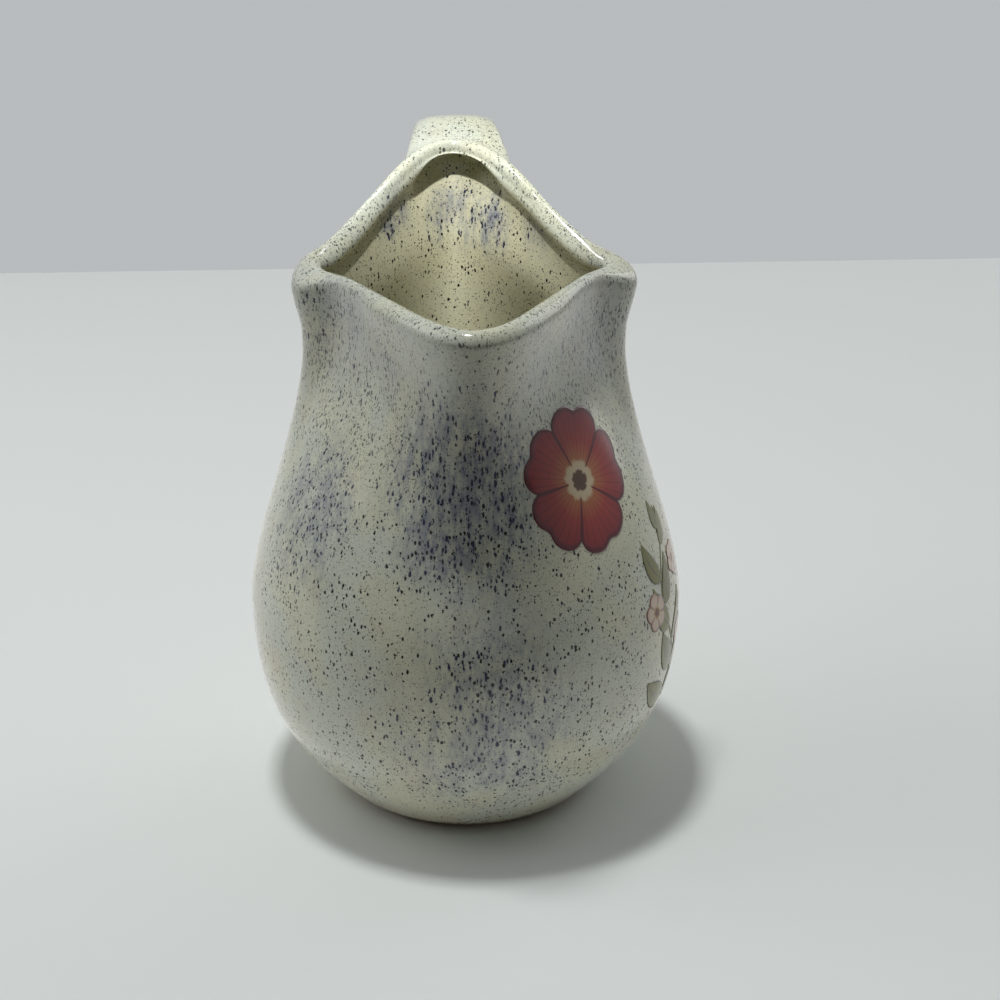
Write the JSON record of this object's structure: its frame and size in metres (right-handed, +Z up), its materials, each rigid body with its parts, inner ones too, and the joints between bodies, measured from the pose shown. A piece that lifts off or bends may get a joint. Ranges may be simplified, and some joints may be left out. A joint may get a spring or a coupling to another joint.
{
  "type": "pitcher",
  "caption": "Speckled glazed pitcher with a round belly, a pulled spout, rolled rim with side ears and a strap handle, for holding and pouring drinks.",
  "frame": {"origin": "centre of the flat base, on the axis of the belly, at the surface that the pitcher stands on", "axes": "+Z up along the belly's axis, -Y towards the spout, +Y towards the handle, +X to the right as seen from the spout's side"},
  "size_m": [0.13, 0.1705, 0.1914],
  "materials": {
    "clay": "bare fired stoneware, matte",
    "slip": "fired joining slip, matte",
    "glaze": "glossy cream glaze with brown-black and blue specks",
    "red_print": "fired-on dusky red print, glossy",
    "green_print": "fired-on olive print, glossy"
  },
  "bodies": {
    "root": {"clay_body": "clay", "body_glaze": "glaze", "clay_handle": "clay", "handle_glaze": "glaze", "upper_slip_joint": "slip", "lower_slip_joint": "slip", "bloom_transfer": "red_print", "sprig_transfer": "green_print"}
  },
  "joints": []
}
